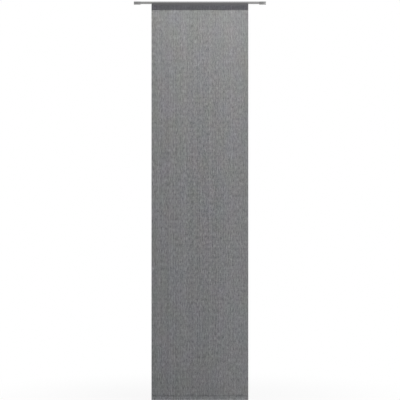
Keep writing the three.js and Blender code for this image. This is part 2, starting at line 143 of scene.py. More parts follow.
def grain_group():
    """Fine grain drawn out along X: streaks on an extrusion, or blasting and moulding marks if it is even."""
    group, given, result = new_group(
        "surface_grain",
        {
            "Colour": ("NodeSocketColor", (0.3, 0.3, 0.3, 1.0)),
            "Along": ("NodeSocketFloat", 8.0),
            "Across": ("NodeSocketFloat", 1400.0),
            "Contrast": ("NodeSocketFloat", 0.1),
            "Roughness": ("NodeSocketFloat", 0.35),
        },
        {"Colour": "NodeSocketColor", "Roughness": "NodeSocketFloat", "Height": "NodeSocketFloat"},
    )
    where = spot_on_object(group)
    scale = {"X": given.outputs["Along"], "Y": given.outputs["Across"], "Z": given.outputs["Across"]}
    drawn_out = stretched(group, where, place(group, "ShaderNodeCombineXYZ", scale).outputs[0])
    fine = clouds(group, drawn_out, scale=1.0, detail=3.0)
    broad = clouds(group, where, scale=BROAD_GRAIN_SCALE, detail=2.0)
    mixed = work(
        group,
        "ADD",
        work(group, "MULTIPLY", fine, FINE_GRAIN_SHARE),
        work(group, "MULTIPLY", broad, 1.0 - FINE_GRAIN_SHARE),
    )
    swing = work(group, "MULTIPLY", work(group, "SUBTRACT", mixed, 0.5), given.outputs["Contrast"])
    shaded = scaled(group, given.outputs["Colour"], work(group, "ADD", swing, 1.0))
    group.links.new(shaded, result.inputs["Colour"])
    rougher = work(group, "MULTIPLY", swing, GRAIN_ON_ROUGHNESS)
    roughness = work(group, "ADD", given.outputs["Roughness"], rougher, clamp=True)
    group.links.new(roughness, result.inputs["Roughness"])
    group.links.new(fine, result.inputs["Height"])
    return group


def rubbed_edges_group():
    """A mask that is 1 where handling has polished an edge, broken up so that no edge is evenly worn."""
    group, given, result = new_group(
        "rubbed_edges",
        {"Width": ("NodeSocketFloat", 0.6 * MM), "Amount": ("NodeSocketFloat", 0.5)},
        {"Mask": "NodeSocketFloat"},
    )
    rounded = place(group, "ShaderNodeBevel", {"Radius": given.outputs["Width"]}, samples=4).outputs[0]
    flat = place(group, "ShaderNodeNewGeometry").outputs["Normal"]
    facing = place(group, "ShaderNodeVectorMath", {0: rounded, 1: flat}, operation="DOT_PRODUCT")
    bent = work(group, "SUBTRACT", 1.0, facing.outputs["Value"])
    edge = work(group, "MULTIPLY", bent, EDGE_WEAR_GAIN, clamp=True)
    patches = clouds(group, spot_on_object(group), scale=WEAR_PATCH_SCALE, detail=3.0)
    broken = work(group, "MULTIPLY", edge, shift(group, patches, low=0.2, high=1.2))
    group.links.new(work(group, "MULTIPLY", broken, given.outputs["Amount"]), result.inputs["Mask"])
    return group


surface_grain = grain_group()
rubbed_edges = rubbed_edges_group()


def finish_of(name, colour, *, roughness, along, across, contrast, depth, worn, wear=0.5, metallic=0.0):
    """A rigid piece's finish: its grain, its worn edges and its relief, on one shader."""
    material, tree, shader = new_material(name)
    shader.inputs["Metallic"].default_value = metallic
    grain = place(
        tree,
        "ShaderNodeGroup",
        {
            "Colour": (*colour, 1.0),
            "Along": along,
            "Across": across,
            "Contrast": contrast,
            "Roughness": roughness,
        },
        node_tree=surface_grain,
    )
    edges = place(tree, "ShaderNodeGroup", {"Amount": wear}, node_tree=rubbed_edges)
    shown = blend_colours(tree, edges.outputs["Mask"], grain.outputs["Colour"], (*worn, 1.0))
    tree.links.new(shown, shader.inputs["Base Color"])
    tree.links.new(grain.outputs["Roughness"], shader.inputs["Roughness"])
    set_relief(tree, shader, grain.outputs["Height"], depth, strength=0.6)
    return material


def dress(node, material):
    """A CAD node that keeps its shape takes on a finish."""
    for material_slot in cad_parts[node].material_slots:
        material_slot.material = material


track_finish = finish_of(
    "track_aluminium",
    (0.28, 0.28, 0.278),
    metallic=1.0,
    roughness=0.34,
    along=6.0,
    across=1500.0,
    contrast=0.22,
    depth=0.006 * MM,
    worn=(0.5, 0.5, 0.5),
)
dress("track_rail", track_finish)


# End caps: zinc castings with a satin nickel plate, pushed over the track's ends and open at the top,
# so that cap and track lie level against the ceiling. Each is closed at its outer end.

CAP_CORNER = 2.6 * MM
CAP_END_WALL = 3.0 * MM
CAP_EDGE = 0.5 * MM
TRACK_CORNER = 2.0 * MM
RUNNING_FIT = 0.3 * MM
PAST = 2.0 * MM
SHARP_ANGLE = 35.0
EASED_ANGLE = 40.0


def shade_smooth(mesh, sharp_angle):
    """Smooth shading that stops at edges sharper than an angle in degrees."""
    for face in mesh.polygons:
        face.use_smooth = True
    mesh.set_sharp_from_angle(angle=math.radians(sharp_angle))


def finished_mesh(name, form, sharp_angle=SHARP_ANGLE):
    """A mesh object from a bmesh, smooth apart from its true edges."""
    bmesh.ops.recalc_face_normals(form, faces=form.faces)
    mesh = bpy.data.meshes.new(name)
    form.to_mesh(mesh)
    form.free()
    shade_smooth(mesh, sharp_angle)
    made = bpy.data.objects.new(name, mesh)
    bpy.context.scene.collection.objects.link(made)
    return made


def join_rings(form, rings):
    """Walls from each ring of corners to the next, all the way round."""
    for one, two in zip(rings, rings[1:]):
        for i in range(len(one)):
            after = (i + 1) % len(one)
            form.faces.new((one[i], one[after], two[after], two[i]))


def close_rings(form, rings):
    """A closed body over a row of rings, with a flat face at each end."""
    join_rings(form, rings)
    form.faces.new(list(reversed(rings[0])))
    form.faces.new(rings[-1])


def round_stretch(centre, radius, start, end, steps=10):
    """Points on an arc from one angle to another, in degrees."""
    turn = [math.radians(start + (end - start) * i / steps) for i in range(steps + 1)]
    return [(centre[0] + radius * math.cos(a), centre[1] + radius * math.sin(a)) for a in turn]


def drawn_along_x(name, outline, low_x, high_x):
    """A closed prism of an outline in Y and Z, from one X to another."""
    form = bmesh.new()
    close_rings(form, [[form.verts.new((x, y, z)) for y, z in outline] for x in (low_x, high_x)])
    return finished_mesh(name, form)


def upright_bar(name, centre, radius, low_z, high_z, sides=32):
    """An upright bar with a round or an even-sided section, used to cut a hole."""
    turn = [2 * math.pi * i / sides for i in range(sides)]
    outline = [(centre[0] + radius * math.cos(a), centre[1] + radius * math.sin(a)) for a in turn]
    form = bmesh.new()
    close_rings(form, [[form.verts.new((x, y, z)) for x, y in outline] for z in (low_z, high_z)])
    return finished_mesh(name, form)


def settle(piece):
    """Applies a piece's modifiers and keeps the smooth shading with its true edges."""
    depsgraph = bpy.context.evaluated_depsgraph_get()
    mesh = bpy.data.meshes.new_from_object(piece.evaluated_get(depsgraph))
    piece.modifiers.clear()
    piece.data = mesh
    shade_smooth(mesh, SHARP_ANGLE)


def cut_out(piece, *tools):
    """Takes the tools' shapes out of a piece and clears them away."""
    for tool in tools:
        step = piece.modifiers.new("cut", "BOOLEAN")
        step.operation = "DIFFERENCE"
        step.solver = "EXACT"
        step.object = tool
    settle(piece)
    for tool in tools:
        bpy.data.objects.remove(tool)


def ease_edges(piece, width, steps=3):
    """Rounds a piece's sharp edges as a casting has them."""
    step = piece.modifiers.new("ease", "BEVEL")
    step.width = width
    step.segments = steps
    step.limit_method = "ANGLE"
    step.angle_limit = math.radians(EASED_ANGLE)
    step.use_clamp_overlap = True
    settle(piece)


def trough(half, floor, rim, corner):
    """A round-bottomed outline that is open to the rim."""
    return [
        (half, rim),
        (-half, rim),
        *round_stretch((-half + corner, floor + corner), corner, 180, 270),
        *round_stretch((half - corner, floor + corner), corner, 270, 360),
    ]


cap_finish = finish_of(
    "satin_metal",
    (0.235, 0.235, 0.235),
    metallic=1.0,
    roughness=0.3,
    along=900.0,
    across=900.0,
    contrast=0.12,
    depth=0.006 * MM,
    worn=(0.5, 0.5, 0.5),
    wear=0.7,
)
track_low, track_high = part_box("track_rail")
room_floor = track_low.z - RUNNING_FIT
for hand, side in (("left", -1), ("right", 1)):
    low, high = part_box(f"end_cap_{hand}")
    cap = drawn_along_x(f"cast_end_cap_{hand}", trough(high.y, low.z, high.z, CAP_CORNER), low.x, high.x)
    room_outline = trough(track_high.y + RUNNING_FIT, room_floor, high.z + PAST, TRACK_CORNER + RUNNING_FIT)
    closed_end = high.x - CAP_END_WALL if side > 0 else low.x + CAP_END_WALL
    open_end = low.x - PAST if side > 0 else high.x + PAST
    room = drawn_along_x("cap_room", room_outline, min(closed_end, open_end), max(closed_end, open_end))
    screw_low, screw_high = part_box(f"end_cap_screw_{hand}")
    bore_radius = (screw_high.x - screw_low.x) / 2 + RUNNING_FIT
    bore = upright_bar("cap_bore", (screw_low + screw_high) / 2, bore_radius, low.z - PAST, room_floor + PAST)
    cut_out(cap, room, bore)
    ease_edges(cap, CAP_EDGE)
    cap.data.materials.append(cap_finish)
    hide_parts(f"end_cap_{hand}")
    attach(cap, "track")


# Grub screws: zinc-plated M3 screws with a hexagon socket in the lower end. One goes up through each
# cap's floor on to the track's rear lip, and one up through each stop on to the track's web.

THREAD_PITCH = 0.5 * MM
THREAD_DEPTH = 0.22 * MM
ROWS_A_TURN = 6
FEWEST_ROWS = 8
SCREW_SIDES = 28
SOCKET_SHARE = 0.55
SOCKET_SIDES = 6

screw_finish = finish_of(
    "zinc_steel",
    (0.30, 0.31, 0.32),
    metallic=1.0,
    roughness=0.36,
    along=700.0,
    across=700.0,
    contrast=0.2,
    depth=0.01 * MM,
    worn=(0.55, 0.55, 0.55),
)


def grub_screw(name, low, high):
    """A threaded shank between two corners, its ends eased and its hexagon socket open below."""
    radius, length = (high.x - low.x) / 2, high.z - low.z
    middle = (low + high) / 2
    rows = max(FEWEST_ROWS, round(length / THREAD_PITCH * ROWS_A_TURN))
    form = bmesh.new()
    rings = []
    for row in range(rows + 1):
        rise = length * row / rows
        eased = min(1.0, min(rise, length - rise) / THREAD_PITCH)
        ring = []
        for i in range(SCREW_SIDES):
            share = i / SCREW_SIDES
            crest = abs(((rise / THREAD_PITCH - share) % 1.0) * 2 - 1)
            reach = radius - THREAD_DEPTH * (1 - crest * eased)
            x = middle.x + reach * math.cos(2 * math.pi * share)
            y = middle.y + reach * math.sin(2 * math.pi * share)
            ring.append(form.verts.new((x, y, low.z + rise)))
        rings.append(ring)
    close_rings(form, rings)
    shank = finished_mesh(name, form)
    socket_radius = radius * SOCKET_SHARE
    socket_top = low.z + min(length / 2, 2 * radius)
    socket = upright_bar("hexagon_socket", middle, socket_radius, low.z - PAST, socket_top, SOCKET_SIDES)
    cut_out(shank, socket)
    shank.data.materials.append(screw_finish)
    return shank


for hand in ("left", "right"):
    for screw_node in (f"end_cap_screw_{hand}", f"stop_screw_{hand}"):
        screw = grub_screw(f"threaded_{screw_node}", *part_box(screw_node))
        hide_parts(screw_node)
        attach(screw, "track")


# Track stops: grey moulded blocks clamped in the channel, which end the outer gliders' travel. They keep
# their moulded form and take a fine, slightly mottled plastic finish.

grey_finish = finish_of(
    "grey_plastic",
    (0.25, 0.25, 0.26),
    roughness=0.5,
    along=1100.0,
    across=1100.0,
    contrast=0.2,
    depth=0.03 * MM,
    worn=(0.36, 0.36, 0.37),
    wear=0.4,
)
for hand in ("left", "right"):
    dress(f"track_stop_{hand}", grey_finish)


# Gliders: white acetal mouldings. The head runs on the track's lips, the neck passes the slot and the
# slit foot is sprung into the carrier's groove.

GLIDER_COUNT = 4

white_finish = finish_of(
    "white_plastic",
    (0.70, 0.71, 0.70),
    roughness=0.38,
    along=500.0,
    across=500.0,
    contrast=0.06,
    depth=0.01 * MM,
    worn=(0.8, 0.8, 0.8),
    wear=0.3,
)
for number in range(1, GLIDER_COUNT + 1):
    dress(f"glider_{number}", white_finish)


# Panel carrier: a second aluminium extrusion, a groove for the glider feet joined to the flat plate that
# the cloth is pressed on to. A thin moulded plate closes each of its ends.

carrier_finish = finish_of(
    "carrier_aluminium",
    (0.120, 0.120, 0.123),
    metallic=1.0,
    roughness=0.4,
    along=6.0,
    across=1300.0,
    contrast=0.25,
    depth=0.008 * MM,
    worn=(0.35, 0.35, 0.35),
)
dress("panel_carrier", carrier_finish)
for hand in ("left", "right"):
    dress(f"carrier_end_cap_{hand}", grey_finish)


# Hook tape: the stiff side of the touch fastener, stuck to the carrier's plate between its two ribs.
# Loop tape: the soft side, sewn to the back of the cloth.

TAPE_SHEEN = 0.25
TAPE_DEPTH = 0.25 * MM
PILE_SCALE = 1900.0
CLUMP_SCALE = 160.0
RIB_HEIGHT = 0.5


def tape_finish(name, colour, rib_scale, contrast):
    """A woven tape: ribs across it, a soft mottled pile and no shine."""
    material, tree, shader = new_material(name)
    shader.inputs["Sheen Weight"].default_value = TAPE_SHEEN
    where = spot_on_object(tree)
    pile = clouds(tree, where, scale=PILE_SCALE, detail=2.0)
    clumps = clouds(tree, where, scale=CLUMP_SCALE, detail=2.0)
    bands = {"Vector": where, "Scale": rib_scale}
    ribs = place(tree, "ShaderNodeTexWave", bands, bands_direction="X").outputs["Fac"]
    swing = work(tree, "MULTIPLY", work(tree, "SUBTRACT", work(tree, "ADD", pile, clumps), 1.0), contrast)
    tree.links.new(scaled(tree, colour, work(tree, "ADD", swing, 1.0)), shader.inputs["Base Color"])
    tree.links.new(shift(tree, clumps, low=0.8, high=1.0), shader.inputs["Roughness"])
    height = work(tree, "ADD", pile, work(tree, "MULTIPLY", ribs, RIB_HEIGHT))
    set_relief(tree, shader, height, TAPE_DEPTH, strength=0.8)
    return material


dress("hook_tape", tape_finish("hook_tape", (0.5, 0.5, 0.49), rib_scale=31.25, contrast=0.5))
dress("loop_tape", tape_finish("loop_tape", (0.205, 0.21, 0.265), rib_scale=55.556, contrast=0.6))


# Cloth panel: flat-woven slub polyester, cut hot so that its sides are fused and need no seam. It hangs
# from the loop tape, and its lower end is folded up into a pocket, turned in and sewn through.

CLOTH = 0.7 * MM
HEM_DEPTH = 33.0 * MM
HEM_TURN_IN = 10.0 * MM
LAYER_GAP = 0.2 * MM
SEAT_GAP = 0.2 * MM
CREASE_ANGLE = 50.0

# The fused side of the cloth: how far in from its edge, and the share of the cloth's thickness there.
SIDE_EDGE = ((0.0, 0.45), (0.3 * MM, 1.0), (0.9 * MM, 1.2), (1.8 * MM, 1.0))
SIDE_EDGE_WIDTH = 3.0 * MM
COLUMNS = 240
FINE_ROWS_REACH = 40.0 * MM

RIPPLE = 0.7 * MM
RIPPLE_HOLD = 0.8
BROAD_WAVE = 0.47
BROAD_START = 0.16
BROAD_SHARE = 0.6
SWAY = 1.3
SWAY_RISE = 2.1
SLOW_WAVE = 0.83
SLOW_RISE = 1.9
SLOW_START = 0.4
SLOW_SHARE = 0.7

PUCKER = 0.10 * MM
PUCKER_PITCH = 11.0 * MM
PUCKER_REACH = 9.0 * MM

cloth_low, cloth_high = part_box("fabric_panel")
loop_low, loop_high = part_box("loop_tape")
bar_cap_low, bar_cap_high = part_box("weight_bar_cap_left")
cloth_middle = loop_low.y - SEAT_GAP - CLOTH / 2
layer_pitch = CLOTH + LAYER_GAP
bar_middle = (bar_cap_low.y + bar_cap_high.y) / 2
pocket_half = (bar_cap_high.y - bar_cap_low.y) / 2 + RUNNING_FIT + CLOTH / 2
pocket_top = bar_cap_high.z + RUNNING_FIT
hem_top = cloth_low.z + HEM_DEPTH
turned_in_to = hem_top - HEM_TURN_IN
seam_level = hem_top - HEM_TURN_IN / 2
tape_bottom = loop_low.z


def straight(start, end, steps):
    """Evenly spaced points from a start to an end."""
    return [tuple(a + (b - a) * i / steps for a, b in zip(start, end)) for i in range(steps + 1)]


def bend(start, pull_start, pull_end, end, steps):
    """Points on a curve drawn with two handles."""
    corners = (start, pull_start, pull_end, end)
    points = []
    for i in range(steps + 1):
        t = i / steps
        weights = ((1 - t) ** 3, 3 * t * (1 - t) ** 2, 3 * t * t * (1 - t), t**3)
        points.append(tuple(sum(w * c[axis] for w, c in zip(weights, corners)) for axis in (0, 1)))
    return points


def cloth_path():
    """The middle of the cloth from its top edge, round the bar's pocket, to the edge that is turned in."""
    front, back = bar_middle - pocket_half, bar_middle + pocket_half
    back_layer = cloth_middle + 2 * layer_pitch
    turn = layer_pitch / 2
    inner_layer = back_layer - 2 * turn
    above_hem = hem_top + FINE_ROWS_REACH
    below_tape = tape_bottom - FINE_ROWS_REACH
    fold_level = cloth_low.z + CLOTH / 2 + pocket_half
    handle = (pocket_top + seam_level) / 2
    top_fold = hem_top - turn - CLOTH / 2
    stretches = [
        straight((cloth_middle, cloth_high.z), (cloth_middle, tape_bottom), 10),
        straight((cloth_middle, tape_bottom), (cloth_middle, below_tape), 8),
        straight((cloth_middle, below_tape), (cloth_middle, above_hem), 64),
        straight((cloth_middle, above_hem), (cloth_middle, seam_level), 12),
        bend((cloth_middle, seam_level), (cloth_middle, handle), (front, handle), (front, pocket_top), 8),
        straight((front, pocket_top), (front, fold_level), 6),
        round_stretch((bar_middle, fold_level), pocket_half, 180, 360, 12),
        straight((back, fold_level), (back, pocket_top), 6),
        bend((back, pocket_top), (back, handle), (back_layer, handle), (back_layer, seam_level), 8),
        straight((back_layer, seam_level), (back_layer, top_fold), 3),
        round_stretch((back_layer - turn, top_fold), turn, 0, 180, 6),
        straight((inner_layer, top_fold), (inner_layer, turned_in_to), 4),
    ]
    points = stretches[0][:1]
    for stretch in stretches:
        points += stretch[1:]
    return points


def hang(x, z):
    """How far the cloth stands off its flat plane: broad, slow ripples that die out at tape and hem."""
    share = (z - hem_top) / (tape_bottom - hem_top)
    if not 0 < share < 1:
        return 0.0
    held = math.sin(math.pi * share) ** RIPPLE_HOLD
    broad = math.sin(2 * math.pi * (x / BROAD_WAVE + BROAD_START) + SWAY * math.sin(SWAY_RISE * z))
    slow = math.sin(2 * math.pi * (x / SLOW_WAVE - z / SLOW_RISE + SLOW_START))
    return RIPPLE * held * (BROAD_SHARE * broad + SLOW_SHARE * slow)


def pucker(x, z):
    """The small gathers that the seams draw up at the hem, along the tape and at the top edge."""
    reach = min(abs(z - seam_level), abs(z - tape_bottom), abs(z - cloth_high.z)) / PUCKER_REACH
    if reach > 2:
        return 0.0
    # Two unlike waves keep the gathers from lying at even distances.
    wander = math.sin(x * 71.0) + 0.6 * math.sin(x * 173.0 + 1.0)
    return PUCKER * math.exp(-reach * reach) * math.sin(2 * math.pi * x / PUCKER_PITCH + wander)


def cloth_columns():
    """Places across the cloth with their share of its thickness: fused and rounded at both sides."""
    half = cloth_high.x
    inner = half - SIDE_EDGE_WIDTH
    left = [(inset - half, share) for inset, share in SIDE_EDGE]
    between = [(-inner + 2 * inner * i / COLUMNS, 1.0) for i in range(COLUMNS + 1)]
    right = [(half - inset, share) for inset, share in reversed(SIDE_EDGE)]
    return left + between + right


def woven_sheet(name, path, columns):
    """A closed sheet of one thickness along a path in Y and Z, with ripples and puckers in its plane."""
    aims = []
    for i in range(len(path)):
        before, after = path[max(i - 1, 0)], path[min(i + 1, len(path) - 1)]
        run = Vector((after[0] - before[0], after[1] - before[1])).normalized()
        aims.append(Vector((-run.y, run.x)))
    form = bmesh.new()
    sections = []
    for x, share in columns:
        front, back = [], []
        for (y, z), aim in zip(path, aims):
            out = hang(x, z) + pucker(x, z)
            for line, way in ((front, -1), (back, 1)):
                reach = way * share * CLOTH / 2
                line.append(form.verts.new((x, y + out + aim.x * reach, z + aim.y * reach)))
        sections.append(front + list(reversed(back)))
    join_rings(form, sections)
    for ring in (sections[0], sections[-1]):
        count = len(ring)
        for i in range(count // 2 - 1):
            form.faces.new((ring[i], ring[count - 1 - i], ring[count - 2 - i], ring[i + 1]))
    return finished_mesh(name, form, CREASE_ANGLE)


WARP_PITCH = 0.8 * MM
WEFT_PITCH = 0.9 * MM
SLUB_LENGTH = 26.0 * MM
SLUB_SPREAD = (0.52, 0.72)
SLUB_HEIGHT = 0.8
FIBRE_LENGTH = 12.0 * MM

# How many bundles of yarn, and how many drifts of the dye, lie along each metre in X, Y and Z.
BUNDLES = (150.0, 1.0, 42.0)
DYE_DRIFTS = (12.0, 1.0, 7.0)
DYE_SPREAD = (0.22, 0.78)

# How strongly each of these shows in the cloth's tone.
SLUB_CONTRAST = 0.5
YARN_CONTRAST = 0.3
FIBRE_CONTRAST = 1.26
BUNDLE_CONTRAST = 1.02
# The weave's share of the tone is painted shade between the yarns.
WEAVE_SHADE_CONTRAST = 0.35

# Steps that set the noise of one yarn apart from the noise of the next.
SLUB_STEP = 7.31
WARP_FIBRE_STEP = 5.17
WEFT_FIBRE_STEP = 3.91


def noise_on_yarn(tree, number, step, along, length, detail):
    """Irregular values along each yarn, with a run of their own for each yarn's number."""
    parts = {"X": work(tree, "MULTIPLY", number, step), "Y": work(tree, "DIVIDE", along, length)}
    spot = place(tree, "ShaderNodeCombineXYZ", parts).outputs[0]
    return clouds(tree, spot, scale=1.0, detail=detail)


def slub_weave(tree, where, axes):
    """The tone, tint, warmth and height of slub cloth: yarns that cross, with painted shade between them,
    slubs in the warp, and mottling.
    """
    across = work(tree, "DIVIDE", axes["X"], WARP_PITCH)
    down = work(tree, "DIVIDE", axes["Z"], WEFT_PITCH)
    warp_number = work(tree, "FLOOR", across)
    weft_number = work(tree, "FLOOR", down)

    # Each warp yarn has a shade of its own and thickens into slubs along its length.
    shade = place(tree, "ShaderNodeTexWhiteNoise", {"W": warp_number}, noise_dimensions="1D").outputs[0]
    thickness = noise_on_yarn(tree, warp_number, SLUB_STEP, axes["Z"], SLUB_LENGTH, detail=1.0)
    slub = share_between(tree, thickness, *SLUB_SPREAD)

    # Bundles of yarns differ together, which is the streaky mottling seen from a step away.
    mottle = clouds(tree, stretched(tree, where, BUNDLES), scale=1.0, detail=3.0)

    # The dye lots of the fibres drift slowly over the cloth, from cool to olive and from blue to brown.
    drift = {"Vector": stretched(tree, where, DYE_DRIFTS), "Scale": 1.0, "Detail": 1.5}
    drawn = place(tree, "ShaderNodeTexNoise", drift).outputs["Color"]
    lots = place(tree, "ShaderNodeSeparateColor", {"Color": drawn}).outputs
    tint = share_between(tree, lots["Red"], *DYE_SPREAD)
    warmth = share_between(tree, lots["Green"], *DYE_SPREAD)

    # A plain weave: over and under by turns, each yarn round across its own width. In the tone this round is
    # painted shade, darker towards each yarn's sides and between the yarns.
    over = work(tree, "MODULO", work(tree, "ABSOLUTE", work(tree, "ADD", weft_number, warp_number)), 2.0)
    warp_round = work(tree, "SINE", work(tree, "MULTIPLY", work(tree, "FRACT", across), math.pi))
    weft_round = work(tree, "SINE", work(tree, "MULTIPLY", work(tree, "FRACT", down), math.pi))
    warp_shown = work(tree, "MULTIPLY", warp_round, over)
    weft_shown = work(tree, "MULTIPLY", weft_round, work(tree, "SUBTRACT", 1.0, over))
    weave = work(tree, "ADD", warp_shown, weft_shown)

    # Melange: each yarn is spun from light and dark fibre, and the one on top at a crossing shows.
    warp_fibre = noise_on_yarn(tree, warp_number, WARP_FIBRE_STEP, axes["Z"], FIBRE_LENGTH, detail=2.0)
    weft_fibre = noise_on_yarn(tree, weft_number, WEFT_FIBRE_STEP, axes["X"], FIBRE_LENGTH, detail=2.0)
    fibre = place(tree, "ShaderNodeMix", {"Factor": over, "A": weft_fibre, "B": warp_fibre}).outputs["Result"]

    # Each effect swings the tone about its own middle, so that none makes the whole cloth lighter or darker.
    tone = 1.0
    for value, middle, contrast in (
        (slub, 0.35, SLUB_CONTRAST),
        (shade, 0.5, YARN_CONTRAST),
        (fibre, 0.5, FIBRE_CONTRAST),
        (mottle, 0.5, BUNDLE_CONTRAST),
        (weave, 0.64, WEAVE_SHADE_CONTRAST),
    ):
        tone = work(tree, "MULTIPLY_ADD", work(tree, "SUBTRACT", value, middle), contrast, tone)
    height = work(tree, "ADD", weave, work(tree, "MULTIPLY", slub, SLUB_HEIGHT))
    return tone, tint, warmth, height


WEAVE_DEPTH = 0.16 * MM

# How far in from its side the cloth starts to be fused, and where it is fused all through.
FUSED_FROM = 1.6 * MM
FUSED_FULLY = 0.8 * MM
FUSED_SHADE = 0.72

# The cool and the olive yarn, as lit from the front and as lit from behind, and the blue and brown lots.
FACE_TINTS = ((0.373, 0.367, 0.3945, 1.0), (0.349, 0.367, 0.3705, 1.0))
GLOW_TINTS = ((0.4645, 0.456, 0.465, 1.0), (0.4475, 0.456, 0.434, 1.0))
LOTS = ((0.985, 1.0, 1.015, 1.0), (1.015, 1.0, 0.985, 1.0))
FACE_TONE = 1.24
GLOW_TONE = 0.6
GLOW_SHARE = 0.65

# Painted light: the cloth's colour is multiplied by these over open cloth, over the tape and over the bar's
# pocket.
NO_PAINTED_BOUNCE = (1.0, 1.0, 1.0, 1.0)
TAPE_PAINTED_BOUNCE = (1.08, 1.05, 1.11, 1.0)
POCKET_PAINTED_BOUNCE = (1.23, 1.24, 1.23, 1.0)


def cloth_finish():
    """Dull yarns that send light back and let some through, so that the cloth glows when lit from behind."""
    material, tree, shader = new_material("slub_cloth")
    shader.inputs["Roughness"].default_value = 0.92
    shader.inputs["Specular IOR Level"].default_value = 0.15
    where = spot_on_object(tree)
    axes = place(tree, "ShaderNodeSeparateXYZ", {0: where}).outputs
    tone, tint, warmth, height = slub_weave(tree, where, axes)
    lot = blend_colours(tree, warmth, *LOTS)
    from_middle = work(tree, "ABSOLUTE", axes["X"])
    fused = share_between(tree, from_middle, cloth_high.x - FUSED_FROM, cloth_high.x - FUSED_FULLY)

    def toned(tints, depth):
        """The yarns' colour between two tints, with the weave's tone, darker where the edge is fused."""
        yarn = stretched(tree, blend_colours(tree, tint, *tints), lot)
        deepened = work(tree, "MULTIPLY_ADD", work(tree, "SUBTRACT", tone, 1.0), depth, 1.0)
        shaded = scaled(tree, yarn, deepened)
        return blend_colours(tree, fused, shaded, scaled(tree, shaded, FUSED_SHADE))

    # Where the tape or the bar's pocket backs the cloth, the light that comes back from the backing is
    # painted into the colour: lighter, and bluish over the tape.
    on_tape = work(tree, "GREATER_THAN", axes["Z"], tape_bottom)
    on_pocket = work(tree, "LESS_THAN", axes["Z"], turned_in_to)
    painted_bounce = blend_colours(tree, on_tape, NO_PAINTED_BOUNCE, TAPE_PAINTED_BOUNCE)
    painted_bounce = blend_colours(tree, on_pocket, painted_bounce, POCKET_PAINTED_BOUNCE)
    face = stretched(tree, toned(FACE_TINTS, FACE_TONE), painted_bounce)
    tree.links.new(face, shader.inputs["Base Color"])
    normal = set_relief(tree, shader, height, WEAVE_DEPTH, strength=0.7)
    glow = toned(GLOW_TINTS, GLOW_TONE)
    through = place(tree, "ShaderNodeBsdfTranslucent", {"Color": glow, "Normal": normal})
    sides = {"Fac": GLOW_SHARE, 1: shader.outputs["BSDF"], 2: through.outputs["BSDF"]}
    both = place(tree, "ShaderNodeMixShader", sides)
    tree.links.new(both.outputs[0], tree.nodes["Material Output"].inputs["Surface"])
    return material


cloth = woven_sheet("cloth_panel", cloth_path(), cloth_columns())
cloth.data.materials.append(cloth_finish())
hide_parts("fabric_panel")
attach(cloth, "panel")


# Sewing: grey polyester thread. One row closes the hem and shows on both of its faces. Two rows hold the
# loop tape along its upper and lower edges, and every stitch dips into the cloth at both ends.

STITCH_PITCH = 4.0 * MM
STITCH_LENGTH = 3.3 * MM
STITCH_DRIFT = 0.15
STITCH_LEAN = 0.12
STITCH_RISE = 1.5
STITCH_DIP = 0.6
STITCH_STATIONS = 6
THREAD = 0.24 * MM
THREAD_AT_ENDS = 0.55
THREAD_SIDES = 6
THREAD_ANGLE = 60.0
TWIST_SCALE = 260.0
TWIST_DEPTH = 0.05 * MM
THREAD_GROOVE_SHADING = ((0.115, 0.115, 0.125, 1.0), (0.21, 0.21, 0.222, 1.0))
SIDE_MARGIN = 3.0 * MM
SEAM_INSET = 2.5 * MM


def thread_finish():
    """Twisted thread with a slight gloss, darker where the twist sinks: painted shade in the grooves between
    its strands.
    """
    material, tree, shader = new_material("sewing_thread")
    shader.inputs["Roughness"].default_value = 0.55
    bands = {"Vector": spot_on_object(tree), "Scale": TWIST_SCALE, "Distortion": 0.4}
    twist = place(tree, "ShaderNodeTexWave", bands, bands_direction="DIAGONAL").outputs["Fac"]
    # The twist's low bands take the dark colour, which is painted shade in the grooves.
    tree.links.new(blend_colours(tree, twist, *THREAD_GROOVE_SHADING), shader.inputs["Base Color"])
    set_relief(tree, shader, twist, TWIST_DEPTH, strength=0.8)
    return material


thread_material = thread_finish()


def stitch_rings(form, middle, lean, level, surface_y, outward):
    """The rings of one stitch: it comes up out of the cloth, lies over it and goes down again."""
    turn = [2 * math.pi * i / THREAD_SIDES for i in range(THREAD_SIDES)]
    rings = []
    for station in range(STITCH_STATIONS):
        share = station / (STITCH_STATIONS - 1)
        arch = math.sin(math.pi * share)
        radius = THREAD * (THREAD_AT_ENDS + (1 - THREAD_AT_ENDS) * arch)
        out = outward * THREAD * (STITCH_RISE * arch - STITCH_DIP)
        x = middle + (share - 0.5) * STITCH_LENGTH
        y = surface_y + out + hang(x, level) + pucker(x, level)
        z = level + lean * (2 * share - 1)
        rings.append([form.verts.new((x, y + radius * math.cos(a), z + radius * math.sin(a))) for a in turn])
    return rings


def stitch_row(name, surface_y, level, outward, seed):
    """A row of separate stitches along X on a face of the cloth."""
    chance = random.Random(seed)
    form = bmesh.new()
    half = cloth_high.x - SIDE_MARGIN
    for number in range(int(2 * half / STITCH_PITCH)):
        middle = -half + STITCH_PITCH * (number + 0.5) + chance.uniform(-STITCH_DRIFT, STITCH_DRIFT) * MM
        lean = chance.uniform(-STITCH_LEAN, STITCH_LEAN) * MM
        close_rings(form, stitch_rings(form, middle, lean, level, surface_y, outward))
    row = finished_mesh(name, form, THREAD_ANGLE)
    row.data.materials.append(thread_material)
    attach(row, "panel")


front_face = cloth_middle - CLOTH / 2
hem_back_face = cloth_middle + 2 * layer_pitch + CLOTH / 2
hem_seam = hem_top - SEAM_INSET
stitch_row("hem_seam_front", front_face, hem_seam, outward=-1, seed=11)
stitch_row("hem_seam_back", hem_back_face, hem_seam, outward=1, seed=12)
stitch_row("tape_seam_upper", front_face, loop_high.z - SEAM_INSET, outward=-1, seed=13)
stitch_row("tape_seam_lower", front_face, loop_low.z + SEAM_INSET, outward=-1, seed=14)


